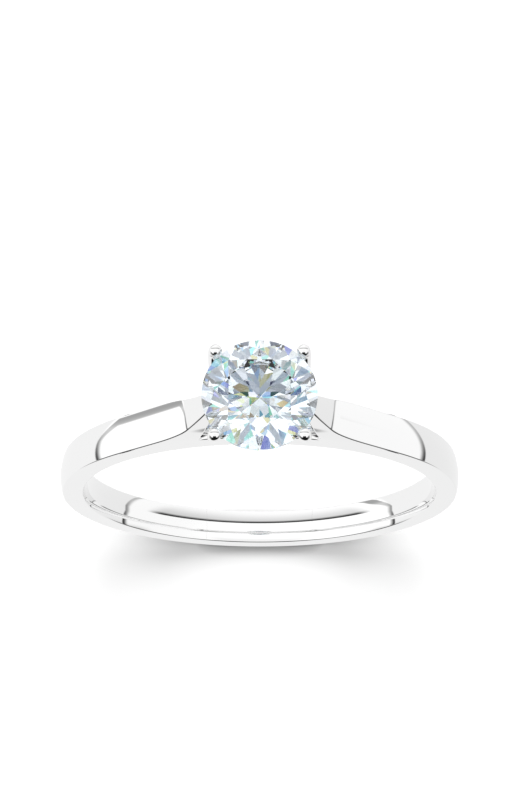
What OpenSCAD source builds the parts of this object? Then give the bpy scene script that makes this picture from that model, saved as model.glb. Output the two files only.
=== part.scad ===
// Cathedral solitaire engagement ring, built up from a court-section band, two raised shoulders,
// a bridge under the head, four claw wires, a gallery rail and one round brilliant.
// The origin is the centre of the finger hole. +Y runs along the finger, +Z points up to the stone.

/* [Finger hole] */
// Inside diameter at the narrowest line of the hole, UK size N, US size 6 3/4
finger_d = 17; // [15:0.1:20.4]
// Width of the straight stretch in the middle of the hole
flat_w = 0.6; // [0.4:0.05:0.9]
// How far the hole widens from the straight stretch to each edge
comfort_drop = 0.14; // [0.08:0.01:0.2]

/* [Band] */
// Width of the band along the finger
band_w = 1.76; // [1.6:0.02:2.12]
// Height of the band's flat side faces
band_t = 0.96; // [0.8:0.01:1.2]
// How far the middle of the outer face stands above its edges
dome_h = 0.14; // [0.08:0.01:0.2]
// Angle covered by the sizing piece at the bottom of the band
sizing_deg = 39; // [20:1:60]

/* [Shoulders] */
// Angle above the horizontal at which a shoulder leaves the band
leave_deg = 49; // [44:1:54]
// Slope of the shoulder's top where it meets the head
arm_slope = 56.5; // [51:0.5:59]
// Radius of the bend along the shoulder's top
bend_r = 2.6; // [2:0.1:4]
// How far the shoulder's top edge stands in from the gallery rail's outside, at the rail's height
arm_inset = 0.15; // [0.05:0.01:0.25]
// Slope of the shoulder's underside, inside the opening below it
under_slope = 68.5; // [66:0.5:71]
// Distance from the shoulder's underside to the claw's foot, along the band
window_gap = 0.49; // [0.45:0.01:0.6]
// Angle at which the shoulder's sides start to close in, level with the top of the finger hole
taper_deg = 2.5; // [1.5:0.1:4]
// Radius of the sides as they close in further towards the head
taper_r = 13.8; // [12:0.1:20]

/* [Stone] */
// Diameter of the round brilliant
stone_d = 4.85; // [4.6:0.01:5.82]
// Height of the middle of the stone's girdle above the band's outer edge
stone_rise = 3.04; // [2.95:0.01:3.4]
// Thickness of the girdle
girdle_t = 0.14; // [0.12:0.01:0.18]
// Width of the table as a share of the diameter
table_share = 0.57; // [0.53:0.01:0.62]
// Angle of the eight crown mains
crown_deg = 34.5; // [33:0.5:36]
// Angle of the eight pavilion mains
pavilion_deg = 40.75; // [40:0.25:41.5]
// How far down the crown the star facets reach, as a share
star_share = 0.5; // [0.45:0.01:0.6]
// How far in the lower girdle facets reach, as a share
lower_share = 0.77; // [0.7:0.01:0.82]
// Angle from +X to the first main facet
stone_turn = 22.5; // [0:0.5:45]

/* [Claws and rail] */
// Diameter of a claw wire
claw_d = 0.58; // [0.5:0.01:0.7]
// Distance from the stone's girdle out to the middle of a claw
claw_stand_off = 0.245; // [0.22:0.005:0.26]
// How far a claw tip leans in over the stone
claw_lean = 0.06; // [0.04:0.01:0.25]
// Diameter of the rounded end of a claw
claw_end_d = 0.56; // [0.36:0.01:0.57]
// Gap between the stone and the notches cut for it
stone_gap = 0.01; // [0.005:0.005:0.02]
// Diameter of the gallery rail's wire
rail_wire_d = 0.4; // [0.36:0.01:0.42]
// Depth of the notch that each claw cuts in the gallery rail
rail_bite = 0.04; // [0.02:0.01:0.06]
// Gap between the rail and the stone's pavilion mains above it
rail_gap = 0.13; // [0.1:0.01:0.2]

/* [Hidden] */
$fn = 128;

METAL = [0.9, 0.9, 0.92];
STONE = [0.82, 0.92, 1];
// Reach of the blocks that cut space away, larger than the whole ring
FAR = 40;

// Radius of an arc that rises by h over a half chord c
function arc_r(c, h) = (c * c + h * h) / (2 * h);

// Finger hole and band
bore_r = finger_d / 2;
inner_edge_r = bore_r + comfort_drop;
outer_edge_r = inner_edge_r + band_t;
half_w = band_w / 2;
half_flat = flat_w / 2;
dome_r = arc_r(half_w, dome_h);
flank_r = arc_r(half_w - half_flat, comfort_drop);

// Stone
girdle_r = stone_d / 2;
girdle_z = outer_edge_r + stone_rise;
girdle_top = girdle_z + girdle_t / 2;
girdle_low = girdle_z - girdle_t / 2;
table_r = girdle_r * table_share;
table_z = girdle_top + (girdle_r - table_r) * tan(crown_deg);
culet_z = girdle_low - girdle_r * tan(pavilion_deg);

// Claws, worked out for the front right one. The foot's outside is flush with the band's side.
// The rounded ends are centred above the girdle and above each other by these shares of the wire's radius
NECK_SHARE = 1 / 3;
END_SHARE = 1 / 2;
claw_r = claw_d / 2;
claw_xy = (girdle_r + claw_stand_off) * sin(45);
foot_y = half_w - claw_r;
foot_z = sqrt(pow(outer_edge_r, 2) - pow(claw_xy, 2));
foot = [claw_xy, -foot_y, foot_z];
neck = [claw_xy, -claw_xy, girdle_top + claw_r * NECK_SHARE];
end_r = claw_end_d / 2;
end_xy = claw_xy - claw_lean * sin(45);
end = [end_xy, -end_xy, neck[2] + claw_r * END_SHARE];
// The leg is drawn longer than it is by this share, and trimmed to the bridge
RUN_ON_SHARE = 1 / 4;

// Gallery rail. The claws set its radius at a height, and the pavilion sets its height at a radius,
// so the two are settled in turn from a first guess at the girdle. Each turn is five times closer.
SETTLING_TURNS = 10;
rail_wire_r = rail_wire_d / 2;
function claw_middle(z) = foot + (neck - foot) * (z - foot_z) / (neck[2] - foot_z);
function rail_r_at(z) = norm([claw_middle(z)[0], claw_middle(z)[1]]) - claw_r + rail_bite - rail_wire_r;
function rail_z_at(r) =
  girdle_low - (girdle_r - r) * tan(pavilion_deg) - (rail_wire_r + rail_gap) / cos(pavilion_deg);
function settled(z, turns) = turns == 0 ? z : settled(rail_z_at(rail_r_at(z)), turns - 1);
rail_z = settled(girdle_low, SETTLING_TURNS);
rail_r = rail_r_at(rail_z);
rail_out_r = rail_r + rail_wire_r;

// Opening under a shoulder, between its underside, the band and the claws' feet
window_x = claw_xy + claw_r + window_gap;
window_z = sqrt(pow(outer_edge_r, 2) - pow(window_x, 2));
// The bridge meets each shoulder between the claws' feet and the opening's corner, at this share of the way
BRIDGE_SHARE = 0.4;
bridge_deg = acos((claw_xy + claw_r + window_gap * BRIDGE_SHARE) / outer_edge_r);

// Top of the right shoulder: a run that leaves the band, a bend and a steeper arm, in the XZ plane
run_slope = 90 - leave_deg;
leave = outer_edge_r * [cos(leave_deg), sin(leave_deg)];
run_way = [-cos(run_slope), sin(run_slope)];
arm_way = [-cos(arm_slope), sin(arm_slope)];
arm_top = [rail_out_r - arm_inset, rail_z];
corner_x = (arm_top[1] + arm_top[0] * tan(arm_slope) - leave[1] - leave[0] * tan(run_slope))
  / (tan(arm_slope) - tan(run_slope));
corner = [corner_x, leave[1] + (leave[0] - corner_x) * tan(run_slope)];
bend_deg = arm_slope - run_slope;
bend_cut = bend_r * tan(bend_deg / 2);
run_end = corner - bend_cut * run_way;
arm_start = corner + bend_cut * arm_way;
run_len = norm(run_end - leave);
arm_len = norm(arm_top - arm_start) + rail_r;
// Deep enough to reach the finger hole all along the shoulder
arm_depth = rail_z - bore_r;

// Cutting shapes stand this far proud of what they cut
SPARE = 0.2;
// Steps in the long arcs of the shoulders' sides
LONG_ARC_STEPS = 256;

// Turns what is drawn about +Z so that it lies about the finger's axis, angles from +X towards +Z
module about_finger() {
  rotate([90, 0, 0]) children();
}

// A section with the band's dome on top: the dome's edges lie on X = 0 and the sides run down from there
module domed_section(depth, spare = 0) {
  wide = band_w + 2 * spare;
  translate([-depth, -wide / 2]) square([depth - dome_h, wide]);
  intersection() {
    translate([dome_h - dome_r, 0]) circle(r = dome_r);
    translate([-dome_h, -wide / 2]) square([2 * dome_h, wide]);
  }
}

// Section of the space inside the band, radius along X: straight, then an arc out to each edge
module finger_section() {
  translate([0, -half_w - SPARE]) square([bore_r, band_w + 2 * SPARE]);
  for (side = [0, 1]) {
    mirror([0, side]) difference() {
      translate([0, half_flat]) square([inner_edge_r + SPARE, half_w + SPARE - half_flat]);
      translate([bore_r + flank_r, half_flat]) circle(r = flank_r);
    }
  }
}

// Section of the band before the finger hole is shaped, deeper than the band
module blank_section(spare = 0) {
  translate([outer_edge_r, 0]) domed_section(2 * band_t, spare);
}

module band_section() {
  difference() {
    blank_section();
    finger_section();
  }
}

// Turns a section about the finger's axis from one angle to another
module sweep(from_deg, to_deg) {
  about_finger() rotate([0, 0, from_deg]) rotate_extrude(angle = to_deg - from_deg) children();
}

module full_turn() {
  about_finger() rotate_extrude() children();
}

// The shoulder before it is trimmed: the run, the bend about a line above it, and the arm
module shoulder_bar() {
  translate([run_end[0], 0, run_end[1]]) rotate([0, -leave_deg, 0]) {
    translate([0, 0, -run_len]) linear_extrude(run_len) domed_section(arm_depth);
    translate([bend_r, 0, 0]) {
      rotate([90, 0, 180]) rotate_extrude(angle = bend_deg)
        translate([bend_r, 0]) mirror([1, 0]) domed_section(arm_depth);
      rotate([0, bend_deg, 0]) translate([-bend_r, 0, 0]) linear_extrude(arm_len) domed_section(arm_depth);
    }
  }
}

// Space beside the shoulder where it narrows above the finger hole
module taper_space() {
  lead = taper_r * sin(taper_deg);
  side = taper_r * cos(taper_deg) - half_w;
  rotate([90, 0, 90]) translate([0, 0, -FAR / 2]) linear_extrude(FAR) difference() {
    translate([-FAR / 2, bore_r]) square([FAR, FAR]);
    intersection() {
      translate([-side, bore_r - lead]) circle(r = taper_r, $fn = LONG_ARC_STEPS);
      translate([side, bore_r - lead]) circle(r = taper_r, $fn = LONG_ARC_STEPS);
    }
  }
}

// Space on the head's side of the shoulder's underside
module window_space() {
  far = FAR * [cos(under_slope), -sin(under_slope)];
  window = [window_x, window_z];
  about_finger() translate([0, 0, -FAR / 2]) linear_extrude(FAR)
    polygon([window + far, window - far, [-FAR, FAR], [-FAR, -FAR]]);
}

// Space beyond the joint with the bridge
module bridge_space() {
  far = FAR * [cos(bridge_deg), sin(bridge_deg)];
  about_finger() translate([0, 0, -FAR / 2]) linear_extrude(FAR)
    polygon([[0, 0], far, [-FAR, FAR], [-FAR, 0]]);
}

module cutting_band() {
  full_turn() blank_section(SPARE);
}

module shoulder() {
  difference() {
    shoulder_bar();
    full_turn() finger_section();
    difference() {
      union() {
        taper_space();
        window_space();
      }
      cutting_band();
    }
    intersection() {
      bridge_space();
      window_space();
    }
    cylinder(r = rail_r, h = FAR);
    translate([-FAR / 2, -FAR / 2, rail_z]) cube(FAR);
    rail_wire();
  }
}

module rail_wire() {
  translate([0, 0, rail_z]) rotate_extrude() translate([rail_r, 0]) circle(r = rail_wire_r);
}

// A round wire between two points, with a rounded upper end
module wire(low, high, r) {
  way = high - low;
  translate(low) rotate([0, acos(way[2] / norm(way)), atan2(way[1], way[0])]) rotate_extrude() {
    square([r, norm(way)]);
    intersection() {
      translate([0, norm(way)]) circle(r = r);
      square([r, norm(way) + r]);
    }
  }
}

// The round space that the stone and its gap take up, without facets
module stone_space() {
  r = girdle_r + stone_gap;
  low = girdle_low - stone_gap;
  top = girdle_top + stone_gap;
  rotate_extrude() polygon([
    [0, low - r * tan(pavilion_deg)],
    [r, low],
    [r, top],
    [0, top + r * tan(crown_deg)]
  ]);
}

// The leg stands on the bridge, passes the girdle and leans in over the crown
module claw() {
  color(METAL) difference() {
    union() {
      wire(foot - (neck - foot) * RUN_ON_SHARE, neck, claw_r);
      wire(neck, end, end_r);
    }
    cutting_band();
    stone_space();
  }
}

// Removes everything beyond the plane through three points, counted so that it faces away
module facet_cut(a, b, c) {
  out = cross(b - a, c - a);
  translate(a) rotate([0, acos(out[2] / norm(out)), atan2(out[1], out[0])])
    translate([-stone_d, -stone_d, 0]) cube(2 * stone_d);
}

function at(r, deg, z) = [r * cos(deg), r * sin(deg), z];

// Corners of the facets: the stars' lower points and the lower girdle facets' inner points
EIGHTH = 45;
half_eighth = EIGHTH / 2;
table_mid_r = table_r * cos(half_eighth);
star_r = table_mid_r + (girdle_r - table_mid_r) * star_share;
star_z = girdle_top + (girdle_r - star_r * cos(half_eighth)) * tan(crown_deg);
lower_r = girdle_r * (1 - lower_share);
lower_z = girdle_low - (girdle_r - lower_r * cos(half_eighth)) * tan(pavilion_deg);

// The cuts of one eighth of the stone, about the main at 0 degrees
module eighth_cuts() {
  facet_cut(at(girdle_r, 0, girdle_top), at(star_r, half_eighth, star_z), at(star_r, -half_eighth, star_z));
  facet_cut(at(girdle_r, 0, girdle_low), at(girdle_r, 0, girdle_low) - [0, 1, 0], at(0, 0, culet_z));
  facet_cut(at(star_r, half_eighth, star_z), at(table_r, EIGHTH, table_z), at(table_r, 0, table_z));
  for (side = [0, 1]) {
    mirror([0, side, 0]) {
      facet_cut(
        at(girdle_r, 0, girdle_top), at(girdle_r, half_eighth, girdle_top),
        at(star_r, half_eighth, star_z));
      facet_cut(
        at(girdle_r, 0, girdle_low), at(lower_r, half_eighth, lower_z),
        at(girdle_r, half_eighth, girdle_low));
    }
  }
}

module left_shank() {
  color(METAL) mirror([1, 0, 0]) shank_half();
}

module right_shank() {
  color(METAL) shank_half();
}

// From the sizing piece up to the shoulder
module shank_half() {
  sweep(sizing_deg / 2 - 90, leave_deg) band_section();
}

module sizing_piece() {
  color(METAL) sweep(-90 - sizing_deg / 2, sizing_deg / 2 - 90) band_section();
}

module left_shoulder() {
  color(METAL) mirror([1, 0, 0]) shoulder();
}

module right_shoulder() {
  color(METAL) shoulder();
}

module bridge() {
  color(METAL) sweep(bridge_deg, 180 - bridge_deg) band_section();
}

module front_left_claw() {
  mirror([1, 0, 0]) claw();
}

module front_right_claw() {
  claw();
}

module back_left_claw() {
  mirror([1, 0, 0]) mirror([0, 1, 0]) claw();
}

module back_right_claw() {
  mirror([0, 1, 0]) claw();
}

// The rail is notched where the four wires pass it
module gallery_rail() {
  color(METAL) difference() {
    rail_wire();
    for (x = [0, 1], y = [0, 1]) {
      mirror([x, 0, 0]) mirror([0, y, 0]) wire(foot, neck, claw_r);
    }
  }
}

module diamond() {
  color(STONE) difference() {
    translate([0, 0, culet_z - SPARE]) cylinder(r = girdle_r, h = table_z - culet_z + SPARE);
    for (i = [0:7]) {
      rotate(stone_turn + i * EIGHTH) eighth_cuts();
    }
  }
}

left_shank();
right_shank();
sizing_piece();
left_shoulder();
right_shoulder();
bridge();
front_left_claw();
front_right_claw();
back_left_claw();
back_right_claw();
gallery_rail();
diamond();
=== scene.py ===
import bpy
import math
import numpy as np
from mathutils import Matrix, Vector


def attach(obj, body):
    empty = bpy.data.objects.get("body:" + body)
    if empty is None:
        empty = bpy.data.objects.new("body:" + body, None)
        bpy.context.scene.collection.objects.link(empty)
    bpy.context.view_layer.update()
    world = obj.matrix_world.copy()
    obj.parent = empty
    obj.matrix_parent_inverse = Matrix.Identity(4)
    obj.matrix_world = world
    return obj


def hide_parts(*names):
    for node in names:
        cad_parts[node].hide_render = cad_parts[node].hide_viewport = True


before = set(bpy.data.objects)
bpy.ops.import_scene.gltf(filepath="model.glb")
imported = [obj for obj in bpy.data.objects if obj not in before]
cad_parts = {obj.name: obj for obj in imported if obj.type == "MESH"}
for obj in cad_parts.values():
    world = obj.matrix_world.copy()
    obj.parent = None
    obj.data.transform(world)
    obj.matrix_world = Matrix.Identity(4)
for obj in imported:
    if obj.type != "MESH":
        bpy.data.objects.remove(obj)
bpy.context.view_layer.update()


def rad(deg):
    return math.radians(deg)


def arc_r(c, h):
    """Radius of an arc that rises by h over a half chord c."""
    return (c * c + h * h) / (2 * h)


def eased(t):
    """0 to 1 with a soft start and a soft end."""
    return t * t * (3 - 2 * t)


# ---------------------------------------------------------------------------
# Sizes of the ring in mm and degrees, about the centre of the finger hole. They are the CAD's, except for
# the four that say so.
# ---------------------------------------------------------------------------
MM = 0.001
BORE_R = 8.5
# Straight stretch in the middle of the hole, narrower than the CAD's and nearer to a true comfort fit
FLAT_W = 0.26
COMFORT_DROP = 0.14
BAND_W = 1.76
BAND_T = 0.96
DOME_H = 0.14
SIZING_DEG = 39.0
LEAVE_DEG = 49.0
ARM_SLOPE = 56.5
BEND_R = 2.6
ARM_INSET = 0.15
UNDER_SLOPE = 68.5
WINDOW_GAP = 0.49
BRIDGE_SHARE = 0.4
TAPER_DEG = 2.5
TAPER_R = 13.8
# Height above the band over which the shoulder's side blends into the taper. The CAD has a sharp step.
LEDGE = 1.1
STONE_D = 4.85
STONE_RISE = 3.04
GIRDLE_T = 0.14
PAVILION_DEG = 40.75
CLAW_D = 0.58
CLAW_STAND_OFF = 0.245
CLAW_LEAN = 0.06
CLAW_END_D = 0.56
NECK_SHARE = 1 / 3
END_SHARE = 1 / 2
RAIL_WIRE_D = 0.4
RAIL_BITE = 0.04
RAIL_GAP = 0.13
SETTLING_TURNS = 10
# Polished edges and hairline seams, which are sharp in the CAD
EDGE_R = 0.07
SEAM_R = 0.014

INNER_EDGE_R = BORE_R + COMFORT_DROP
OUTER_EDGE_R = INNER_EDGE_R + BAND_T
HALF_W = BAND_W / 2
HALF_FLAT = FLAT_W / 2
DOME_R = arc_r(HALF_W, DOME_H)
FLANK_R = arc_r(HALF_W - HALF_FLAT, COMFORT_DROP)
GIRDLE_R = STONE_D / 2
GIRDLE_Z = OUTER_EDGE_R + STONE_RISE
GIRDLE_TOP = GIRDLE_Z + GIRDLE_T / 2
GIRDLE_LOW = GIRDLE_Z - GIRDLE_T / 2

# Front right claw, halfway between the ring's side and its front
CLAW_TURN = 45
CLAW_R = CLAW_D / 2
END_R = CLAW_END_D / 2
CLAW_XY = (GIRDLE_R + CLAW_STAND_OFF) * math.sin(rad(CLAW_TURN))
END_XY = CLAW_XY - CLAW_LEAN * math.sin(rad(CLAW_TURN))
FOOT = np.array([CLAW_XY, -(HALF_W - CLAW_R), math.sqrt(OUTER_EDGE_R ** 2 - CLAW_XY ** 2)])
NECK = np.array([CLAW_XY, -CLAW_XY, GIRDLE_TOP + CLAW_R * NECK_SHARE])
CLAW_TIP = np.array([END_XY, -END_XY, NECK[2] + CLAW_R * END_SHARE])

# The claws set the rail's radius at a height, and the pavilion sets its height at a radius
RAIL_WIRE_R = RAIL_WIRE_D / 2
RAIL_Z = GIRDLE_LOW
for _ in range(SETTLING_TURNS):
    CROSSING = FOOT + (NECK - FOOT) * (RAIL_Z - FOOT[2]) / (NECK[2] - FOOT[2])
    RAIL_R = math.hypot(CROSSING[0], CROSSING[1]) - CLAW_R + RAIL_BITE - RAIL_WIRE_R
    RAIL_Z = (
        GIRDLE_LOW - (GIRDLE_R - RAIL_R) * math.tan(rad(PAVILION_DEG))
        - (RAIL_WIRE_R + RAIL_GAP) / math.cos(rad(PAVILION_DEG)))

# Corner of the opening under a shoulder, and the joint with the bridge
WINDOW_X = CLAW_XY + CLAW_R + WINDOW_GAP
WINDOW = np.array([WINDOW_X, math.sqrt(OUTER_EDGE_R ** 2 - WINDOW_X ** 2)])
WINDOW_DEG = math.degrees(math.atan2(WINDOW[1], WINDOW[0]))
BRIDGE_DEG = math.degrees(math.acos((CLAW_XY + CLAW_R + WINDOW_GAP * BRIDGE_SHARE) / OUTER_EDGE_R))


def way(slope):
    """Direction up a slope towards the head, in the XZ plane."""
    return np.array([-math.cos(rad(slope)), math.sin(rad(slope))])


# Top of the right shoulder in the XZ plane: a run, a bend and a steeper arm
RUN_SLOPE = 90 - LEAVE_DEG
LEAVE = OUTER_EDGE_R * np.array([math.cos(rad(LEAVE_DEG)), math.sin(rad(LEAVE_DEG))])
ARM_TOP = np.array([RAIL_R + RAIL_WIRE_R - ARM_INSET, RAIL_Z])
ARM_TAN = math.tan(rad(ARM_SLOPE))
RUN_TAN = math.tan(rad(RUN_SLOPE))
CORNER_X = (ARM_TOP[1] + ARM_TOP[0] * ARM_TAN - LEAVE[1] - LEAVE[0] * RUN_TAN) / (ARM_TAN - RUN_TAN)
CORNER = np.array([CORNER_X, LEAVE[1] + (LEAVE[0] - CORNER_X) * RUN_TAN])
BEND_DEG = ARM_SLOPE - RUN_SLOPE
BEND_CUT = BEND_R * math.tan(rad(BEND_DEG / 2))
RUN_END = CORNER - BEND_CUT * way(RUN_SLOPE)
ARM_START = CORNER + BEND_CUT * way(ARM_SLOPE)
RUN_LEN = float(np.linalg.norm(RUN_END - LEAVE))
BEND_LEN = BEND_R * rad(BEND_DEG)
ARM_LEN = float(np.linalg.norm(ARM_TOP - ARM_START))
PATH_LEN = RUN_LEN + BEND_LEN + ARM_LEN


def path(s):
    """Point and outward normal of the shoulder's top edge line, s from where it leaves the band."""
    if s <= RUN_LEN:
        slope = RUN_SLOPE
        p = LEAVE + s * way(slope)
    elif s <= RUN_LEN + BEND_LEN:
        slope = RUN_SLOPE + BEND_DEG * (s - RUN_LEN) / BEND_LEN
        centre = RUN_END + BEND_R * np.array([math.sin(rad(RUN_SLOPE)), math.cos(rad(RUN_SLOPE))])
        p = centre - BEND_R * np.array([math.sin(rad(slope)), math.cos(rad(slope))])
    else:
        slope = ARM_SLOPE
        p = ARM_START + (s - RUN_LEN - BEND_LEN) * way(slope)
    return p, np.array([math.sin(rad(slope)), math.cos(rad(slope))])


def dome(y):
    """Height of the dome above the edge line, and its lean."""
    return DOME_H - (DOME_R - math.sqrt(DOME_R ** 2 - y * y)), math.asin(y / DOME_R)


def unit(v):
    return v / np.linalg.norm(v)


# ---------------------------------------------------------------------------
# Mesh building: grids of points with their own exact normals
# ---------------------------------------------------------------------------
# Points that agree to this many parts of a millimetre are one vertex
MERGE_PARTS = 2e5


class Shell:
    """A closed mesh put together from grids, each corner with the true surface's normal."""

    def __init__(self):
        self.points, self.keys, self.faces, self.normals = [], {}, [], []

    def vertex(self, p):
        """Number of the vertex at a point, new or already there."""
        key = tuple(round(float(c) * MERGE_PARTS) for c in p)
        if key not in self.keys:
            self.keys[key] = len(self.points)
            self.points.append([float(c) for c in p])
        return self.keys[key]

    def face(self, ids, normals):
        """A face without its repeated corners, turned to agree with its normals."""
        kept, kept_n = [], []
        for i, n in zip(ids, normals):
            if i not in kept:
                kept.append(i)
                kept_n.append(n)
        if len(kept) < 3:
            return
        p = [np.array(self.points[i]) for i in kept]
        flat = sum(np.cross(p[k] - p[0], p[k + 1] - p[0]) for k in range(1, len(p) - 1))
        if np.dot(flat, sum(kept_n)) < 0:
            kept.reverse()
            kept_n.reverse()
        self.faces.append(kept)
        self.normals.extend(kept_n)

    def grid(self, rows, row_normals, closed=False):
        """Quads between rows of points."""
        ids = [[self.vertex(p) for p in row] for row in rows]
        n = len(rows[0])
        for a in range(len(rows) - 1):
            for b in range(n if closed else n - 1):
                c = (b + 1) % n
                self.face(
                    [ids[a][b], ids[a][c], ids[a + 1][c], ids[a + 1][b]],
                    [row_normals[a][b], row_normals[a][c], row_normals[a + 1][c], row_normals[a + 1][b]],
                )

    def cap(self, loop, normal):
        """A flat end as strips across, so that it also suits a long thin loop."""
        ids = [self.vertex(p) for p in loop]
        n = len(ids)
        for k in range(n // 2 - 1):
            quad = [ids[k], ids[k + 1], ids[n - 2 - k], ids[n - 1 - k]]
            self.face(quad, [normal] * 4)

    def mirrored(self, axis):
        """The mirror image along X (0) or Y (1)."""
        other = Shell()
        sign = np.ones(3)
        sign[axis] = -1
        other.points = [list(np.array(p) * sign) for p in self.points]
        at = 0
        for f in self.faces:
            other.faces.append(f[::-1])
            other.normals.extend([np.array(n) * sign for n in self.normals[at:at + len(f)]][::-1])
            at += len(f)
        return other

    def build(self, name):
        """The Blender object."""
        mesh = bpy.data.meshes.new(name)
        mesh.from_pydata([[c * MM for c in p] for p in self.points], [], self.faces)
        mesh.polygons.foreach_set("use_smooth", [True] * len(mesh.polygons))
        mesh.normals_split_custom_set([tuple(unit(np.array(n, float))) for n in self.normals])
        mesh.update()
        ob = bpy.data.objects.new(name, mesh)
        bpy.context.scene.collection.objects.link(ob)
        return ob


def corner_arc(corner, n1, n2, r):
    """Points and normals of a small rounded edge between faces with normals n1 and n2."""
    between = float(np.dot(n1, n2))
    centre = corner - (n1 + n2) * r / (1 + between)
    whole = math.acos(max(-1, min(1, between)))
    out = []
    for k in range(ARC_STEPS + 1):
        t = k / ARC_STEPS
        n = (math.sin((1 - t) * whole) * n1 + math.sin(t * whole) * n2) / math.sin(whole)
        out.append((centre + r * n, n))
    return out


# ---------------------------------------------------------------------------
# Band: a section of (radius, y) points with normals, swept about the finger's axis
# ---------------------------------------------------------------------------
# Steps across the hole's flank, round an edge, up the side and across half the dome
FLANK_STEPS, ARC_STEPS, SIDE_STEPS, DOME_STEPS = 8, 4, 4, 16
# Step along the band, and the arc angles of a seam's lip
BAND_STEP_DEG = 0.6
LIP_TURNS = (0, 30, 60)
# Points nearer the middle than this aren't mirrored
ON_MIDDLE = 1e-9


def inner_half():
    """From the middle of the hole out to the side, as (radius, y, normal radius, normal y)."""
    out = [(BORE_R, 0.0, -1.0, 0.0), (BORE_R, HALF_FLAT, -1.0, 0.0)]
    lean = math.asin((HALF_W - HALF_FLAT) / FLANK_R)
    edge = corner_arc(
        np.array([INNER_EDGE_R, HALF_W]),
        np.array([-math.cos(lean), math.sin(lean)]), np.array([0.0, 1.0]), EDGE_R)
    last = math.asin((edge[0][0][1] - HALF_FLAT) / FLANK_R)
    for k in range(1, FLANK_STEPS):
        a = last * k / FLANK_STEPS
        out.append((
            BORE_R + FLANK_R * (1 - math.cos(a)), HALF_FLAT + FLANK_R * math.sin(a),
            -math.cos(a), math.sin(a)))
    for p, n in edge:
        out.append((p[0], p[1], n[0], n[1]))
    return out


def outer_half(r=EDGE_R):
    """From the side over the rounded edge to the middle of the dome."""
    lean = math.asin(HALF_W / DOME_R)
    edge = corner_arc(
        np.array([OUTER_EDGE_R, HALF_W]),
        np.array([0.0, 1.0]), np.array([math.cos(lean), math.sin(lean)]), r)
    out = [(p[0], p[1], n[0], n[1]) for p, n in edge]
    last = math.asin(edge[-1][0][1] / DOME_R)
    for k in range(1, DOME_STEPS + 1):
        a = last * (1 - k / DOME_STEPS)
        out.append((
            OUTER_EDGE_R + DOME_H - DOME_R * (1 - math.cos(a)), DOME_R * math.sin(a),
            math.cos(a), math.sin(a)))
    return out


def whole_section():
    """All round the band's section, starting in the middle of the hole."""
    low, high = inner_half(), outer_half()
    side = [
        (low[-1][0] + (high[0][0] - low[-1][0]) * k / SIDE_STEPS, HALF_W, 0.0, 1.0)
        for k in range(1, SIDE_STEPS)]
    half = low + side + high
    return half + [(r, -y, nr, -ny) for r, y, nr, ny in half[::-1] if y > ON_MIDDLE]


def turned(r, y, deg):
    """A section's point or normal, carried round to an angle from +X towards +Z."""
    return np.array([r * math.cos(rad(deg)), y, r * math.sin(rad(deg))])


def along_band(deg):
    """Direction along the band towards larger angles."""
    return np.array([-math.sin(rad(deg)), 0, math.cos(rad(deg))])


def seam_lip(edge, inward):
    """A seam's rounded lip from the end face inwards, as (angle, inset, lean along the band)."""
    lip = [
        (edge + inward * math.degrees(SEAM_R * (1 - math.cos(rad(t))) / OUTER_EDGE_R),
         SEAM_R * (1 - math.sin(rad(t))), -inward * math.cos(rad(t)))
        for t in LIP_TURNS]
    return lip + [(edge + inward * math.degrees(SEAM_R / OUTER_EDGE_R), 0.0, 0.0)]


def band_piece(start, stop, seams=(False, False)):
    """A stretch of the band. An end that shows a seam has a hair-thin rounded lip."""
    shell, section = Shell(), whole_section()
    count = max(2, round(abs(stop - start) / BAND_STEP_DEG))
    stations = [(start + (stop - start) * k / count, 0.0, 0.0) for k in range(count + 1)]
    if seams[0]:
        stations = seam_lip(start, 1) + stations[1:]
    if seams[1]:
        stations = stations[:-1] + seam_lip(stop, -1)[::-1]
    rows, normals = [], []
    for deg, inset, lean in stations:
        along = along_band(deg)
        upright = math.sqrt(1 - lean * lean)
        rows.append([turned(r - nr * inset, y - ny * inset, deg) for r, y, nr, ny in section])
        normals.append([turned(nr, ny, deg) * upright + along * lean for _, _, nr, ny in section])
    shell.grid(rows, normals, closed=True)
    shell.cap(rows[0], -along_band(stations[0][0]))
    shell.cap(rows[-1], along_band(stations[-1][0]))
    return shell


# ---------------------------------------------------------------------------
# Shoulder: the stem that leaves the band, the arm up to the head and the stub that meets the bridge
# ---------------------------------------------------------------------------
TAPER_LEAD = TAPER_R * math.sin(rad(TAPER_DEG))
TAPER_SIDE = TAPER_R * math.cos(rad(TAPER_DEG)) - HALF_W
# Up along the underside, and straight out of it
UNDER_WAY = way(UNDER_SLOPE)
UNDER_N = np.array([-math.sin(rad(UNDER_SLOPE)), 0.0, -math.cos(rad(UNDER_SLOPE))])
OUT_Y = np.array([0.0, 1.0, 0.0])
FLIP_Y = np.array([1, -1, 1])
# Steps along the stem, arm and stub, and up the lower and upper parts of the side
STEM_COLS, ARM_COLS, STUB_COLS = 44, 36, 4
LOW_SIDE, HIGH_SIDE = 5, 10
# Turns in which the dome's edge settles on the side, and steps in the search for the opening's corner
EDGE_TURNS = 12
SEARCH_STEPS = 4000
# The side's slope is measured over this length
SLOPE_STEP = 1e-3
# Length in which the arm's lower edge becomes round, and in which its underside leaves the crease
ROUNDING_LEN = 0.15
CREASE_LEN = 0.4
# The arm stops this far short of the end of its top line, which lies inside the rail's wire
ARM_SHORT = 0.02
# Radius of an edge that is still sharp, and the distance at which two points are the same
SHARP_R = 1e-4
SAME_POINT = 1e-6


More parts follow.
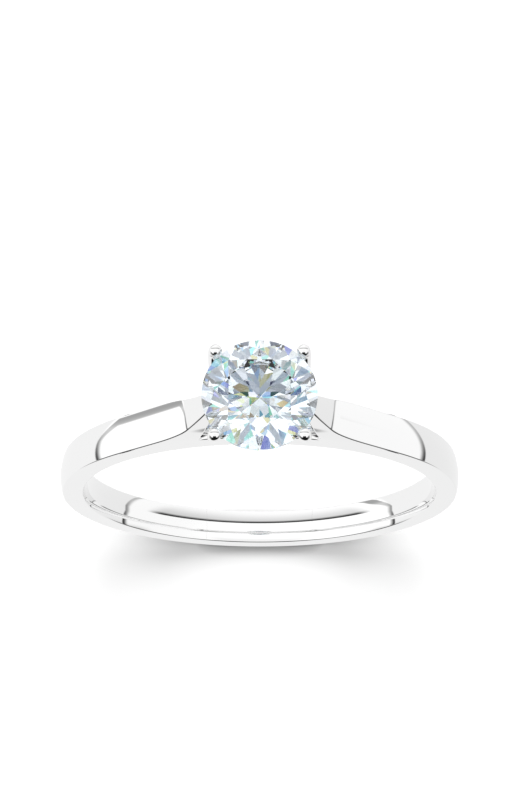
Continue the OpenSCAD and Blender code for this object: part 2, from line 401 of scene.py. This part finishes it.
def half_width(x, z):
    """Half the shoulder's width: the band's up to its outer edge, then closing in towards the head."""
    if z <= BORE_R:
        return HALF_W
    narrow = math.sqrt(TAPER_R ** 2 - (z - BORE_R + TAPER_LEAD) ** 2) - TAPER_SIDE
    proud = (math.hypot(x, z) - OUTER_EDGE_R) / LEDGE
    return HALF_W + (narrow - HALF_W) * eased(min(1.0, max(0.0, proud)))


def side_normal(x, z):
    """Normal of the shoulder's side."""
    d = SLOPE_STEP
    gx = (half_width(x + d, z) - half_width(x - d, z)) / (2 * d)
    gz = (half_width(x, z + d) - half_width(x, z - d)) / (2 * d)
    return unit(np.array([-gx, 1.0, -gz]))


def on_dome(s, y):
    """Point and normal of the shoulder's dome at s along it and y across it."""
    p, n = path(s)
    h, lean = dome(y)
    q = p + n * h
    normal = np.array([n[0] * math.cos(lean), math.sin(lean), n[1] * math.cos(lean)])
    return np.array([q[0], y, q[1]]), normal


def dome_edge(s):
    """Where the shoulder's dome meets its side at s: point, dome normal and side normal."""
    y = HALF_W
    for _ in range(EDGE_TURNS):
        q, _ = on_dome(s, y)
        y = half_width(q[0], q[2])
    q, top = on_dome(s, y)
    return q, top, side_normal(q[0], q[2])


def high_part(s, foot):
    """From foot, on the shoulder's side, up over the rounded edge to the middle of the dome."""
    corner, top, side = dome_edge(s)
    arc = corner_arc(corner, side, top, EDGE_R)
    start = arc[0][0]
    pts, nrm = [], []
    span = np.array([start[0] - foot[0], start[2] - foot[1]])
    rising = float(np.dot(span, np.array([corner[0] - foot[0], corner[2] - foot[1]]))) > 0
    for k in range(HIGH_SIDE):
        t = k / HIGH_SIDE if rising else 1.0
        x = foot[0] + span[0] * t
        z = foot[1] + span[1] * t
        pts.append(np.array([x, half_width(x, z), z]))
        nrm.append(side_normal(x, z))
    for p, n in arc:
        pts.append(p)
        nrm.append(n)
    for k in range(1, DOME_STEPS + 1):
        p, n = on_dome(s, arc[-1][0][1] * (1 - k / DOME_STEPS))
        pts.append(p)
        nrm.append(n)
    return pts, nrm


def low_part(deg, top_r=OUTER_EDGE_R):
    """From the middle of the finger hole out to the side and up it to the band's outer edge line."""
    inner = inner_half()
    pts = [turned(r, y, deg) for r, y, _, _ in inner]
    nrm = [turned(nr, ny, deg) for _, _, nr, ny in inner]
    for k in range(1, LOW_SIDE + 1):
        r = inner[-1][0] + (top_r - inner[-1][0]) * k / LOW_SIDE
        pts.append(turned(r, HALF_W, deg))
        nrm.append(OUT_Y)
    return pts, nrm


def both_sides(shell, rows, normals):
    """Adds a half grid and its mirror image across the middle of the ring."""
    shell.grid(rows, normals)
    shell.grid([[p * FLIP_Y for p in row] for row in rows], [[n * FLIP_Y for n in row] for row in normals])


def end_cap(shell, row, normal):
    """Closes a half row and its mirror image with a flat end."""
    loop = []
    for p in row + [p * FLIP_Y for p in row[::-1]]:
        if not loop or np.linalg.norm(loop[-1] - p) > SAME_POINT:
            loop.append(p)
    if np.linalg.norm(loop[0] - loop[-1]) < SAME_POINT:
        loop.pop()
    shell.cap(loop, normal)


def corner_station():
    """How far along the shoulder's top the opening's corner lies, square to the underside."""
    for k in range(SEARCH_STEPS):
        s = PATH_LEN * k / SEARCH_STEPS
        if float(np.dot(path(s)[0] - WINDOW, UNDER_WAY)) > 0:
            return s
    return 0.0


def crease_line():
    """Where the arm's underside plane cuts the band's dome, from the edge to the middle."""
    line = []
    for k in range(DOME_STEPS + 1):
        y = HALF_W * (1 - k / DOME_STEPS)
        r = OUTER_EDGE_R + dome(y)[0]
        b = float(np.dot(WINDOW, UNDER_WAY))
        c = float(np.dot(WINDOW, WINDOW)) - r * r
        x, z = WINDOW + UNDER_WAY * (math.sqrt(b * b - c) - b)
        line.append(np.array([x, y, z]))
    return line


def stem(shell, s_corner):
    """From where the shoulder leaves the band to the opening's corner."""
    rows, normals = [], []
    for k in range(STEM_COLS + 1):
        t = k / STEM_COLS
        deg = LEAVE_DEG + (WINDOW_DEG - LEAVE_DEG) * t
        s = s_corner * t
        outward = np.array([math.cos(rad(deg)), math.sin(rad(deg))])
        band_edge = OUTER_EDGE_R * outward
        corner, top, side = dome_edge(s)
        gap = math.hypot(corner[0] - band_edge[0], corner[2] - band_edge[1])
        arc = corner_arc(corner, side, top, EDGE_R)
        reach = float(np.linalg.norm(arc[0][0] - corner))
        top_r = OUTER_EDGE_R - max(0.0, reach - gap)
        low, low_n = low_part(deg, top_r)
        high, high_n = high_part(s, top_r * outward)
        # Near the start there is no side above the band yet
        if top_r < OUTER_EDGE_R:
            for i in range(HIGH_SIDE):
                high[i] = low[-1].copy()
                high_n[i] = low_n[-1]
        rows.append(low + high)
        normals.append(low_n + high_n)
    both_sides(shell, rows, normals)
    end_cap(shell, rows[0], -along_band(LEAVE_DEG))


def underside(u, edge, crease):
    """The arm's underside at u above the opening's corner, from the middle to edge."""
    row = []
    for j in range(DOME_STEPS + 1):
        lift = 0.0
        if u < CREASE_LEN:
            x, _, z = crease[DOME_STEPS - j]
            lift = float(np.dot(np.array([x, z]) - WINDOW, UNDER_WAY)) * (1 - u / CREASE_LEN)
        x, z = WINDOW + UNDER_WAY * (u + lift)
        row.append(np.array([x, edge[1] * j / DOME_STEPS, z]))
    row[-1] = edge
    return row


def arm(shell, s_corner, crease):
    """From the opening's corner up to the gallery rail."""
    top_z = WINDOW[1] + (WINDOW[0] - RAIL_R) * math.tan(rad(UNDER_SLOPE))
    under_len = float(np.linalg.norm(np.array([RAIL_R, top_z]) - WINDOW))
    s_end = PATH_LEN - ARM_SHORT
    rows, normals = [], []
    for k in range(ARM_COLS + 1):
        t = k / ARM_COLS
        u = under_len * t
        x, z = WINDOW + UNDER_WAY * u
        side_n = side_normal(x, z)
        if k == 0:
            corner = np.array([x, HALF_W, z])
            arc = [(corner, UNDER_N)] * ARC_STEPS + [(corner, side_n)]
            bottom = crease[::-1]
        else:
            edge_r = max(EDGE_R * eased(min(1.0, u / ROUNDING_LEN)), SHARP_R)
            arc = corner_arc(np.array([x, half_width(x, z), z]), UNDER_N, side_n, edge_r)
            bottom = underside(u, arc[0][0], crease)
        start = arc[-1][0]
        high, high_n = high_part(s_corner + (s_end - s_corner) * t, np.array([start[0], start[2]]))
        high[0] = start
        rows.append(bottom[:-1] + [p for p, _ in arc] + high)
        normals.append([UNDER_N] * (len(bottom) - 1) + [n for _, n in arc] + high_n)
    both_sides(shell, rows, normals)
    end_cap(shell, rows[-1], np.array([-1.0, 0.0, 0.0]))


def stub_start(crease):
    """The stub's first row, which follows the crease over the band's dome."""
    pts, nrm = low_part(WINDOW_DEG)
    pts = pts + [np.array([WINDOW[0], HALF_W, WINDOW[1]])] * ARC_STEPS + crease
    nrm = nrm + [OUT_Y] * ARC_STEPS
    for x, y, z in crease:
        r = math.hypot(x, z)
        lean = dome(y)[1]
        nrm.append(np.array([x / r * math.cos(lean), math.sin(lean), z / r * math.cos(lean)]))
    return pts, nrm


def stub(shell, crease):
    """From the opening's corner along the band to the bridge."""
    pts, nrm = stub_start(crease)
    rows, normals = [pts], [nrm]
    for k in range(1, STUB_COLS + 1):
        t = k / STUB_COLS
        deg = WINDOW_DEG + (BRIDGE_DEG - WINDOW_DEG) * t
        over = outer_half(max(EDGE_R * eased(t), SHARP_R))
        pts, nrm = low_part(deg, over[0][0])
        for i, (r, y, nr, ny) in enumerate(over):
            at_deg = deg
            # On the dome, the columns lean from the crease over to the joint
            if k < STUB_COLS and i > ARC_STEPS:
                ref = crease[i - ARC_STEPS]
                ref_deg = math.degrees(math.atan2(ref[2], ref[0]))
                at_deg = ref_deg + (BRIDGE_DEG - ref_deg) * t
            pts.append(turned(r, y, at_deg))
            nrm.append(turned(nr, ny, at_deg))
        rows.append(pts)
        normals.append(nrm)
    both_sides(shell, rows, normals)
    end_cap(shell, rows[-1], along_band(BRIDGE_DEG))


def shoulder_shell():
    """The right shoulder."""
    shell = Shell()
    s_corner = corner_station()
    crease = crease_line()
    stem(shell, s_corner)
    arm(shell, s_corner, crease)
    stub(shell, crease)
    return shell


# ---------------------------------------------------------------------------
# Wires
# ---------------------------------------------------------------------------
# Steps round a claw's wire and over its rounded end
WIRE_SIDES = 32
END_STEPS = 10
# A direction that no claw runs along, to start the rings from
ASLANT = np.array([0.3, 0.9, 0.1])
# Steps up a claw's leg, of which the bend takes the last two, and steps in the bend
LEG_STEPS = 24
BEND_STEPS = 12
# Shares of the leg's length: sunk into the bridge, and swung past the neck
SUNK = 0.06
SWING = 0.004
# Power with which the wire's radius changes along the bend
NARROWING = 1.6
# The claw keeps this far from the girdle, over heights from below to above it
SEAT_GAP = 0.005
SEAT_BELOW = 0.3
SEAT_ABOVE = 0.02
# Steps round the gallery rail and round its wire
RAIL_AROUND = 160
RAIL_SIDES = 28


def ring_of(centre, side, along, r, lean):
    """A ring of points at r from centre and their normals, which lean from side towards along."""
    other = np.cross(along, side)
    row, row_n = [], []
    for k in range(WIRE_SIDES):
        a = 2 * math.pi * k / WIRE_SIDES
        out = side * math.cos(a) + other * math.sin(a)
        n = out * math.cos(lean) + along * math.sin(lean)
        row.append(centre + n * r)
        row_n.append(n)
    return row, row_n


def tube(points, radii):
    """A round wire along points, with a rounded upper end."""
    shell = Shell()
    pts = [np.array(p, float) for p in points]
    ways = [unit(pts[min(i + 1, len(pts) - 1)] - pts[max(i - 1, 0)]) for i in range(len(pts))]
    side = unit(np.cross(ways[0], ASLANT))
    rows, normals = [], []
    for i, (p, w, r) in enumerate(zip(pts, ways, radii)):
        side = unit(side - w * float(np.dot(side, w)))
        lo, hi = max(i - 1, 0), min(i + 1, len(pts) - 1)
        slope = (radii[hi] - radii[lo]) / float(np.linalg.norm(pts[hi] - pts[lo]))
        row, outs = ring_of(p, side, w, r, 0.0)
        rows.append(row)
        normals.append([unit(out - w * slope) for out in outs])
    for j in range(1, END_STEPS + 1):
        row, row_n = ring_of(pts[-1], side, ways[-1], radii[-1], math.pi / 2 * j / END_STEPS)
        rows.append(row)
        normals.append(row_n)
    shell.grid(rows, normals, closed=True)
    shell.cap(rows[0], -ways[0])
    return shell


def claw_shell():
    """The front right claw's wire: up from the bridge, past the girdle, then over the edge of the stone."""
    leg = NECK - FOOT
    low = FOOT - leg * SUNK
    points = [low + (NECK - low) * k / LEG_STEPS for k in range(LEG_STEPS - 1)]
    radii = [CLAW_R] * len(points)
    start = points[-1]
    for k in range(1, BEND_STEPS + 1):
        t = k / BEND_STEPS
        points.append((1 - t) ** 2 * start + 2 * t * (1 - t) * (NECK + leg * SWING) + t * t * CLAW_TIP)
        radii.append(CLAW_R + (END_R - CLAW_R) * t ** NARROWING)
    shell = tube(points, radii)
    # Seat for the stone: nothing of the wire stands inside the girdle
    clear_r = GIRDLE_R + SEAT_GAP
    for p in shell.points:
        r = math.hypot(p[0], p[1])
        if r < clear_r and GIRDLE_LOW - SEAT_BELOW < p[2] < GIRDLE_TOP + SEAT_ABOVE:
            limit = clear_r
            if p[2] < GIRDLE_LOW:
                limit = clear_r - (GIRDLE_LOW - p[2]) / math.tan(rad(PAVILION_DEG))
            if r < limit:
                p[0] *= limit / r
                p[1] *= limit / r
    return shell


def rail_shell():
    """The gallery rail under the stone."""
    shell = Shell()
    rows, normals = [], []
    for i in range(RAIL_AROUND + 1):
        a = 2 * math.pi * (i % RAIL_AROUND) / RAIL_AROUND
        centre = np.array([math.cos(a) * RAIL_R, math.sin(a) * RAIL_R, RAIL_Z])
        row, row_n = [], []
        for k in range(RAIL_SIDES):
            b = 2 * math.pi * k / RAIL_SIDES
            n = np.array([math.cos(a) * math.cos(b), math.sin(a) * math.cos(b), math.sin(b)])
            row.append(centre + n * RAIL_WIRE_R)
            row_n.append(n)
        rows.append(row)
        normals.append(row_n)
    shell.grid(rows, normals, closed=True)
    return shell


# ---------------------------------------------------------------------------
# Materials
# ---------------------------------------------------------------------------
METAL_TONE = (0.9, 0.9, 0.898)
WIPED_SHARE = (0.985, 0.985, 0.99)
METAL_IOR = 2.0
METAL_ROUGHNESS = 0.03
# The wiping haze makes the polish this much smoother and rougher
HAZE_SHARES = (0.7, 1.5)
HAZE_SCALE, HAZE_DETAIL, HAZE_RANGE = 420.0, 4.0, (0.35, 0.75)
SCRATCH_SCALE, SCRATCH_DETAIL, SCRATCH_STRETCH = 5200.0, 2.0, (1.0, 0.08, 1.0)
SCRATCH_DEPTH, SCRATCH_STRENGTH = 2e-6, 0.06
GROWTH_SCALE, GROWTH_DETAIL = 700.0, 3.0
DIAMOND_IOR = 2.417
DIAMOND_TINT = (0.985, 0.99, 1, 1)
WHITE = (1, 1, 1, 1)


def new_material(name):
    mat = bpy.data.materials.new(name)
    mat.use_nodes = True
    mat.node_tree.nodes.clear()
    return mat


def feed(nt, socket, value):
    """Gives an input a plain value or another node's output."""
    if isinstance(value, (int, float, tuple)):
        socket.default_value = value
    else:
        nt.links.new(value, socket)


def add(nt, kind, inputs, **settings):
    """A node with its settings, and its inputs by name or number."""
    node = nt.nodes.new(kind)
    for key, value in settings.items():
        setattr(node, key, value)
    for key, value in inputs.items():
        feed(nt, node.inputs[key], value)
    return node


def blend(nt, share, a, b):
    """Colour that goes from a to b as share goes from 0 to 1."""
    return add(nt, "ShaderNodeMix", {0: share, 6: a, 7: b}, data_type="RGBA").outputs[2]


def noise(nt, vector, scale, detail):
    """Smooth noise, 0 to 1 and mostly near the middle."""
    node = add(nt, "ShaderNodeTexNoise", {"Vector": vector, "Scale": scale, "Detail": detail})
    return node.outputs["Fac"]


def polished_metal(name):
    """Rhodium-bright platinum: mirror polish with faint wiping haze and hairline scratches."""
    mat = new_material(name)
    nt = mat.node_tree
    place = add(nt, "ShaderNodeTexCoord", {}).outputs["Object"]
    cloud = noise(nt, place, HAZE_SCALE, HAZE_DETAIL)
    drawn_out = add(nt, "ShaderNodeMapping", {"Vector": place, "Scale": SCRATCH_STRETCH})
    grain = noise(nt, drawn_out.outputs["Vector"], SCRATCH_SCALE, SCRATCH_DETAIL)
    haze = add(nt, "ShaderNodeMapRange", {
        "Value": cloud,
        "From Min": HAZE_RANGE[0],
        "From Max": HAZE_RANGE[1],
        "To Min": METAL_ROUGHNESS * HAZE_SHARES[0],
        "To Max": METAL_ROUGHNESS * HAZE_SHARES[1],
    })
    wiped = tuple(c * share for c, share in zip(METAL_TONE, WIPED_SHARE))
    bump = add(nt, "ShaderNodeBump", {
        "Height": grain,
        "Strength": SCRATCH_STRENGTH,
        "Distance": SCRATCH_DEPTH,
    })
    bsdf = add(nt, "ShaderNodeBsdfPrincipled", {
        "Metallic": 1.0,
        "IOR": METAL_IOR,
        "Base Color": blend(nt, cloud, wiped + (1,), METAL_TONE + (1,)),
        "Roughness": haze.outputs["Result"],
        "Normal": bump.outputs["Normal"],
    })
    add(nt, "ShaderNodeOutputMaterial", {"Surface": bsdf.outputs["BSDF"]})
    return mat


def brilliant(name):
    """Colourless diamond with the faintest uneven growth tint."""
    mat = new_material(name)
    nt = mat.node_tree
    place = add(nt, "ShaderNodeTexCoord", {}).outputs["Object"]
    growth = noise(nt, place, GROWTH_SCALE, GROWTH_DETAIL)
    glass = add(nt, "ShaderNodeBsdfGlass", {
        "Color": blend(nt, growth, DIAMOND_TINT, WHITE),
        "IOR": DIAMOND_IOR,
        "Roughness": 0.0,
    })
    add(nt, "ShaderNodeOutputMaterial", {"Surface": glass.outputs[0]})
    return mat


# ---------------------------------------------------------------------------
# The ring
# ---------------------------------------------------------------------------
platinum = polished_metal("polished_platinum")
claw_metal = polished_metal("claw_platinum")


def piece(shell, node, mat):
    """A Blender piece in the place of one of the CAD's."""
    ob = shell.build(node + "_polished")
    ob.data.materials.append(mat)
    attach(ob, "root")
    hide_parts(node)


SIZING_START = -90 - SIZING_DEG / 2
SIZING_STOP = SIZING_DEG / 2 - 90
right_shank = band_piece(SIZING_STOP, LEAVE_DEG, (True, False))
piece(right_shank, "right_shank", platinum)
piece(right_shank.mirrored(0), "left_shank", platinum)
piece(band_piece(SIZING_START, SIZING_STOP, (True, True)), "sizing_piece", platinum)
piece(band_piece(BRIDGE_DEG, 180 - BRIDGE_DEG), "bridge", platinum)
right_shoulder = shoulder_shell()
piece(right_shoulder, "right_shoulder", platinum)
piece(right_shoulder.mirrored(0), "left_shoulder", platinum)
claw = claw_shell()
piece(claw, "front_right_claw", claw_metal)
piece(claw.mirrored(0), "front_left_claw", claw_metal)
piece(claw.mirrored(1), "back_right_claw", claw_metal)
piece(claw.mirrored(0).mirrored(1), "back_left_claw", claw_metal)
piece(rail_shell(), "gallery_rail", claw_metal)

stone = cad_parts["diamond"]
diamond_mat = brilliant("diamond_brilliant")
for slot in stone.material_slots:
    slot.material = diamond_mat

# ---------------------------------------------------------------------------
# Floor: white paper, with a painted contact shadow that darkens it where the ring all but touches it
# ---------------------------------------------------------------------------
scene = bpy.context.scene
FLOOR_HALF = 1.0
FLOOR_Z = -(OUTER_EDGE_R + DOME_H) * MM
FLOOR_GAP = 2e-6
PAPER = (0.62, 0.62, 0.62, 1)
# Colour of the painted contact shadow on the paper
PAINTED_CONTACT_SHADE = (0.14, 0.14, 0.14, 1)
CONTACT_REACH = 0.7 * MM
CONTACT_SAMPLES = 16


def floor_paper_painted_shade():
    mat = new_material("floor_paper_painted_shade")
    nt = mat.node_tree
    # Painted shade: the paper's colour goes dark grey where the ring is near, standing in for the contact
    # shadow
    near = add(nt, "ShaderNodeAmbientOcclusion", {"Distance": CONTACT_REACH}, samples=CONTACT_SAMPLES)
    colour = blend(nt, near.outputs["AO"], PAINTED_CONTACT_SHADE, PAPER)
    paper = add(nt, "ShaderNodeBsdfDiffuse", {"Color": colour})
    add(nt, "ShaderNodeOutputMaterial", {"Surface": paper.outputs[0]})
    return mat


floor_mesh = bpy.data.meshes.new("floor")
floor_corners = [(x * FLOOR_HALF, y * FLOOR_HALF, 0) for x, y in ((-1, -1), (1, -1), (1, 1), (-1, 1))]
floor_mesh.from_pydata(floor_corners, [], [(0, 1, 2, 3)])
floor_mesh.materials.append(floor_paper_painted_shade())
floor = bpy.data.objects.new("floor", floor_mesh)
scene.collection.objects.link(floor)
floor.location = (0, 0, FLOOR_Z - FLOOR_GAP)
floor.visible_glossy = False
floor.visible_transmission = False

# ---------------------------------------------------------------------------
# Studio: a designed light tent, which the camera itself doesn't see
# ---------------------------------------------------------------------------
world = bpy.data.worlds.new("studio")
scene.world = world
world.use_nodes = True
world.cycles.sampling_method = "MANUAL"
world.cycles.sample_map_resolution = 1024
sky = world.node_tree
sky.nodes.clear()
DEG = 180 / math.pi


def num(kind, *values):
    """A math node on numbers or sockets."""
    return add(sky, "ShaderNodeMath", dict(enumerate(values)), operation=kind).outputs[0]


def times(a, b):
    return num("MULTIPLY", a, b)


def plus(a, b):
    return num("ADD", a, b)


def line(value, rise, start):
    """start plus rise times value."""
    return num("MULTIPLY_ADD", value, rise, start)


def without(light, share):
    """The light that is left when a share of it is taken away."""
    return times(light, num("SUBTRACT", 1.0, share))


def smooth(value, low, high, at_low=0.0, at_high=1.0):
    """Goes from at_low to at_high as value goes from low to high."""
    ends = {"Value": value, "From Min": low, "From Max": high, "To Min": at_low, "To Max": at_high}
    return add(sky, "ShaderNodeMapRange", ends, interpolation_type="SMOOTHSTEP").outputs["Result"]


def between(value, low, low_full, high_full, high):
    """1 from low_full to high_full, and down to 0 at low and at high."""
    return times(smooth(value, low, low_full), smooth(value, high, high_full))


def multiplied(a, b):
    """Two colours multiplied."""
    node = add(sky, "ShaderNodeMix", {0: 1.0, 6: a, 7: b}, data_type="RGBA", blend_type="MULTIPLY")
    return node.outputs[2]


# Direction of a ray, its height above the horizon, and its angle from the back (+Y), 0 to 180 on either
# side, both in degrees
direction = add(sky, "ShaderNodeTexCoord", {}).outputs["Generated"]
X, Y, Z = add(sky, "ShaderNodeSeparateXYZ", {0: direction}).outputs
height = times(num("ARCSINE", Z), DEG)
turn = times(num("ARCTAN2", num("ABSOLUTE", X), Y), DEG)

# Strength of the tent above and below the table's edge, brighter on the left
TABLE_EDGE = (-13.5, -10.5)
UPPER_LIGHT, UPPER_TILT = 1.14, -0.08
LOWER_LIGHT, LOWER_TILT = 0.95, -0.05
OVERHEAD_Z, OVERHEAD_LIFT = (0.5, 0.95), 0.05
# Dark gap between the tent's wall and the table: the height of its middle, the soft ends of its foot and
# its top about that, and its darkness. All of them change towards the back on the left.
BACK_LEFT_X, BACK_LEFT_TURN = (0.0, -0.2), (75, 52)
GAP_HEIGHT, GAP_TILT, GAP_HEIGHT_BACK = -12.95, -0.92, 6.3
GAP_FOOT, GAP_FOOT_BACK, GAP_FOOT_SOFT = -2.2, -1.8, 1.4
GAP_TOP, GAP_TOP_BACK = 4.5, 2.5
GAP_FULL, GAP_FULL_BACK = -0.5, 5.0
GAP_FADE_TURN, GAP_DARK_BACK, GAP_DARK_SIDE, GAP_DARK_BACK_LEFT = (58, 92), 0.4, 0.94, 0.66
# Opening in front, where the camera looks in, as turns and heights: its middle, above it and beside it
FRONT_TURN, FRONT_HEIGHT = (132, 142), (-42, -34, -2, 10)
ABOVE_FRONT_TURN, ABOVE_FRONT_HEIGHT = (146, 158), (-4, 4, 37, 43)
ASIDE_TURN, ASIDE_HEIGHT = (96, 118), (-38, -26, -2, 14)
FRONT_DARK, ASIDE_DARK = 0.99, 0.8
# Dark seam of the ceiling, which runs across behind the ring: a sharp start, a narrow core and a wide tail
SEAM_START = (0.272, 0.284)
SEAM_CORE_END, SEAM_CORE_DARK = (0.42, 0.315), 0.62
SEAM_TAIL_END, SEAM_TAIL_DARK = (0.85, 0.36), 0.35
SEAM_Z = (0.05, 0.3)
# Duller ceiling on the lens's side
DULL_Y, DULL_Z, DULL_DARK = (-0.2, -0.42), (0.75, 0.85), 0.17


def tent_wall():
    """The tent without its dark parts."""
    upper = plus(line(X, UPPER_TILT, UPPER_LIGHT), smooth(Z, *OVERHEAD_Z, 0.0, OVERHEAD_LIFT))
    lower = line(X, LOWER_TILT, LOWER_LIGHT)
    return plus(lower, times(num("SUBTRACT", upper, lower), smooth(height, *TABLE_EDGE)))


def table_gap():
    """The dark gap above the table's edge."""
    back_left = times(smooth(X, *BACK_LEFT_X), smooth(turn, *BACK_LEFT_TURN))
    middle = plus(line(X, GAP_TILT, GAP_HEIGHT), times(back_left, GAP_HEIGHT_BACK))
    above = num("SUBTRACT", height, middle)
    foot = line(back_left, GAP_FOOT_BACK, GAP_FOOT)
    full = line(back_left, GAP_FULL_BACK, GAP_FULL)
    top = line(back_left, GAP_TOP_BACK, GAP_TOP)
    gap = between(above, foot, plus(foot, GAP_FOOT_SOFT), full, top)
    dark = smooth(turn, *GAP_FADE_TURN, GAP_DARK_BACK, GAP_DARK_SIDE)
    return times(gap, num("MAXIMUM", dark, times(back_left, GAP_DARK_BACK_LEFT)))


def front_opening():
    """The dark opening that the camera looks in through."""
    front = times(smooth(turn, *FRONT_TURN), between(height, *FRONT_HEIGHT))
    above = times(smooth(turn, *ABOVE_FRONT_TURN), between(height, *ABOVE_FRONT_HEIGHT))
    return times(num("MAXIMUM", front, above), FRONT_DARK)


def beside_opening():
    """The opening's dim sides."""
    return times(times(smooth(turn, *ASIDE_TURN), between(height, *ASIDE_HEIGHT)), ASIDE_DARK)


def ceiling_seam():
    """The dark seam across the ceiling."""
    start = smooth(Y, *SEAM_START)
    core = times(start, smooth(Y, *SEAM_CORE_END, 0.0, SEAM_CORE_DARK))
    tail = times(start, smooth(Y, *SEAM_TAIL_END, 0.0, SEAM_TAIL_DARK))
    return times(plus(core, tail), smooth(Z, *SEAM_Z))


def dull_ceiling():
    """The part of the ceiling that the lens's side darkens."""
    return times(smooth(Y, *DULL_Y, 0.0, DULL_DARK), smooth(Z, *DULL_Z))


def tent_light():
    """Strength of the tent in the ray's direction."""
    light = tent_wall()
    for dark in (table_gap(), front_opening(), beside_opening(), ceiling_seam(), dull_ceiling()):
        light = without(light, dark)
    return light


# What the stone's facets pick up is the same tent, paler, with slate-blue panels that the metal doesn't
# show: a ring around the lens, a striped panel overhead behind the ring, and patches
CAM_ELEVATION = 73.42
TO_LENS = (0.0, -math.cos(rad(CAM_ELEVATION)), math.sin(rad(CAM_ELEVATION)))
SLATE = (0.07, 0.1, 0.15, 1)
LENS_RING, LENS_RING_DARK = (6, 9, 22, 27), 0.78
PANEL_ROLL, PANEL_DARK = (33, 37, 70, 76), 0.5
STRIPES, STRIPE_EDGE = 9.0, (-0.3, 0.1)
PATCH_SIZE, PATCH_EDGE, PATCH_DARK = 5.0, (0.52, 0.58), 0.5
ICE = (0.935, 0.98, 1.02, 1)
STONE_LIFT = 0.16
# The stone splits the light that passes it into colours: spots of orange, yellow, cyan, blue and violet.
# The hue runs over a part of the wheel and leaps over green.
FIRE_OFFSET = (7.3, 2.1, 4.4)
FIRE_SPREAD, FIRE_TURNS = 3.2, 6.0
HUE_START, HUE_SPAN, GREEN_FROM, GREEN_LEAP = 0.08, 0.4, 0.3, 0.2
SPOT_SIZE, SPOT_EDGE, SPOT_FAINT, SPOT_STRONG = 5.0, (0.565, 0.62), 0.05, 0.6
FIRE_VALUE = 1.12


def slate_panels():
    """White with the slate-blue panels."""
    toward = add(sky, "ShaderNodeVectorMath", {0: direction, 1: TO_LENS}, operation="DOT_PRODUCT")
    off_lens = times(num("ARCCOSINE", num("MINIMUM", toward.outputs["Value"], 1.0)), DEG)
    ring = times(between(off_lens, *LENS_RING), LENS_RING_DARK)
    roll = times(num("ARCTAN2", Y, Z), DEG)
    stripes = smooth(num("SINE", times(X, STRIPES)), *STRIPE_EDGE)
    panel = times(times(between(roll, *PANEL_ROLL), stripes), PANEL_DARK)
    patches = smooth(noise(sky, direction, PATCH_SIZE, 1.0), *PATCH_EDGE, 0.0, PATCH_DARK)
    return blend(sky, num("MAXIMUM", num("MAXIMUM", ring, panel), patches), WHITE, SLATE)


def fire():
    """Spots of pure colour."""
    shifted = add(sky, "ShaderNodeVectorMath", {0: direction, 1: FIRE_OFFSET}, operation="ADD")
    wheel = num("FRACT", times(noise(sky, shifted.outputs[0], FIRE_SPREAD, 0.0), FIRE_TURNS))
    hue = plus(line(wheel, HUE_SPAN, HUE_START), times(num("GREATER_THAN", wheel, GREEN_FROM), GREEN_LEAP))
    spots = smooth(noise(sky, direction, SPOT_SIZE, 0.0), *SPOT_EDGE, SPOT_FAINT, SPOT_STRONG)
    return add(sky, "ShaderNodeCombineColor", {0: hue, 1: spots, 2: FIRE_VALUE}, mode="HSV").outputs[0]


def either(share, a, b):
    """Number that goes from a to b as share goes from 0 to 1."""
    return add(sky, "ShaderNodeMix", {0: share, 2: a, 3: b}, data_type="FLOAT").outputs[0]


# White that the camera sees past the floor's edge
BACKDROP = 1.1
rays = add(sky, "ShaderNodeLightPath", {})
through_stone = rays.outputs["Is Transmission Ray"]
tent = tent_light()
strength = either(through_stone, tent, plus(tent, STONE_LIFT))
strength = either(rays.outputs["Is Camera Ray"], strength, BACKDROP)
tint = blend(sky, through_stone, WHITE, multiplied(multiplied(fire(), ICE), slate_panels()))
background = add(sky, "ShaderNodeBackground", {"Color": tint, "Strength": strength})
add(sky, "ShaderNodeOutputWorld", {"Surface": background.outputs[0]})


def sun(name, energy, spread, high):
    """A soft light from behind the ring, high degrees above the floor. Polished faces don't show it."""
    data = bpy.data.lights.new(name, "SUN")
    data.energy = energy
    data.angle = rad(spread)
    ob = bpy.data.objects.new(name, data)
    scene.collection.objects.link(ob)
    ob.rotation_euler = (-rad(90 - high), 0, 0)
    ob.visible_glossy = False
    ob.visible_transmission = False


sun("key", energy=0.5, spread=20, high=71)
sun("key_wide", energy=3.05, spread=66, high=70)

scene.view_settings.view_transform = "Standard"
scene.view_settings.exposure = 0.0
scene.cycles.max_bounces = 20
scene.cycles.transmission_bounces = 16
scene.cycles.glossy_bounces = 8
scene.cycles.caustics_reflective = True
scene.cycles.caustics_refractive = True

# ---------------------------------------------------------------------------
# Camera: fitted to the photo, in front of the ring and high above it, aimed a little up and to the left
# ---------------------------------------------------------------------------
CAM_DIST = 77.0
CAM_PITCH = 0.0521
CAM_YAW = -0.00162
LENS = 70.2
SENSOR = 36.0
CLIP_START = 0.001
CLIP_END = 10

cam_data = bpy.data.cameras.new("camera")
cam_data.sensor_fit = "VERTICAL"
cam_data.sensor_height = SENSOR
cam_data.lens = LENS
cam_data.clip_start = CLIP_START
cam_data.clip_end = CLIP_END
cam = bpy.data.objects.new("camera", cam_data)
scene.collection.objects.link(cam)
scene.camera = cam

to_eye = np.array(TO_LENS)
up = np.array([0, math.sin(rad(CAM_ELEVATION)), math.cos(rad(CAM_ELEVATION))])
sideways = np.array([1.0, 0, 0])
pitched = -to_eye * math.cos(CAM_PITCH) + up * math.sin(CAM_PITCH)
cam_up = up * math.cos(CAM_PITCH) + to_eye * math.sin(CAM_PITCH)
cam_ahead = pitched * math.cos(CAM_YAW) + sideways * math.sin(CAM_YAW)
cam_side = sideways * math.cos(CAM_YAW) - pitched * math.sin(CAM_YAW)
turned_to = Matrix([list(row) for row in zip(cam_side, cam_up, -cam_ahead)]).to_4x4()
cam.matrix_world = Matrix.Translation(Vector(to_eye * CAM_DIST * MM)) @ turned_to
